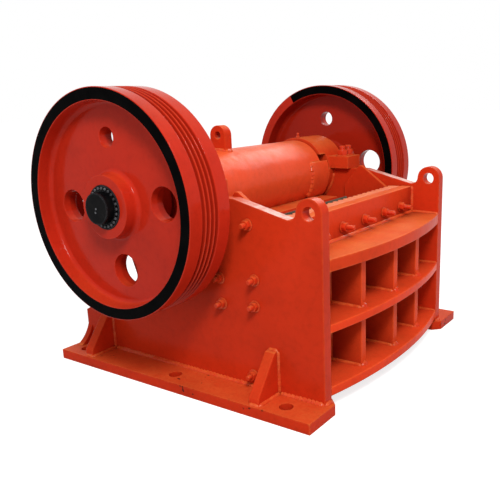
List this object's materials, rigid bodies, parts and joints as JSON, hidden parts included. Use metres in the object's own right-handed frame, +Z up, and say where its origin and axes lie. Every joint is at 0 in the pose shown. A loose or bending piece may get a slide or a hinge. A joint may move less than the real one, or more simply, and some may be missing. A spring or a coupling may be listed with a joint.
{
  "type": "jaw crusher",
  "caption": "Jaw crusher with grooved flywheels on an eccentric shaft, a moving jaw in a welded plate frame, a ribbed front wall, lifting eyes and flat feet with anchor holes.",
  "frame": {"origin": "on the floor, under the middle of the machine's overall box", "axes": "+X toward the ribbed front wall, +Y along the shaft to the right flywheel seen from the front, +Z up"},
  "size_m": [1.6159, 2.06, 1.392],
  "materials": {
    "paint": "glossy orange-red enamel",
    "cast_paint": "orange-red enamel on a casting, with black rim faces",
    "shaft_black": "glossy black",
    "jaw_steel": "bare cast manganese steel",
    "bare_steel": "oiled steel"
  },
  "bodies": {
    "frame": {"fixed_jaw_plate": "jaw_steel", "front_rib_bottom": "paint", "front_rib_middle": "paint", "front_rib_top": "paint", "front_upright_lower_left": "paint", "front_upright_lower_middle": "paint", "front_upright_lower_right": "paint", "front_upright_upper_left": "paint", "front_upright_upper_middle": "paint", "front_upright_upper_right": "paint", "front_wall": "paint", "left_bearing_base": "paint", "left_bearing_cap": "paint", "left_cheek_lower": "paint", "left_cheek_upper": "paint", "left_foot": "paint", "left_gusset_front": "paint", "left_gusset_rear": "paint", "left_rear_upright": "paint", "left_side_plate": "paint", "left_tension_spring": "bare_steel", "rear_rib": "paint", "rear_wall": "paint", "right_bearing_base": "paint", "right_bearing_cap": "paint", "right_cheek_lower": "paint", "right_cheek_upper": "paint", "right_foot": "paint", "right_gusset_front": "paint", "right_gusset_rear": "paint", "right_rear_upright": "paint", "right_side_plate": "paint", "right_tension_spring": "bare_steel", "toggle_block": "paint", "toggle_plate": "paint"},
    "rotor": {"eccentric_shaft": "shaft_black", "left_flywheel": "cast_paint", "right_flywheel": "cast_paint", "left_lock_ring": "shaft_black", "right_lock_ring": "shaft_black"},
    "pitman": {"pitman_barrel": "paint", "pitman_body": "paint", "pitman_lug": "paint", "moving_jaw_plate": "jaw_steel", "left_pitman_band": "paint", "right_pitman_band": "paint", "left_tension_rod": "bare_steel", "right_tension_rod": "bare_steel"}
  },
  "joints": [
    {"name": "shaft_spin", "type": "hinge", "parent": "frame", "child": "rotor", "pos_m": [-0.122, 0, 0.897], "axis": [0, 1, 0], "continuous": true},
    {"name": "pitman_swing", "type": "hinge", "parent": "rotor", "child": "pitman", "pos_m": [-0.122, 0, 0.885], "axis": [0, 1, 0], "continuous": true}
  ],
  "couplings": [
    {"joint": "pitman_swing", "follows": "shaft_spin", "ratio": -1}
  ]
}
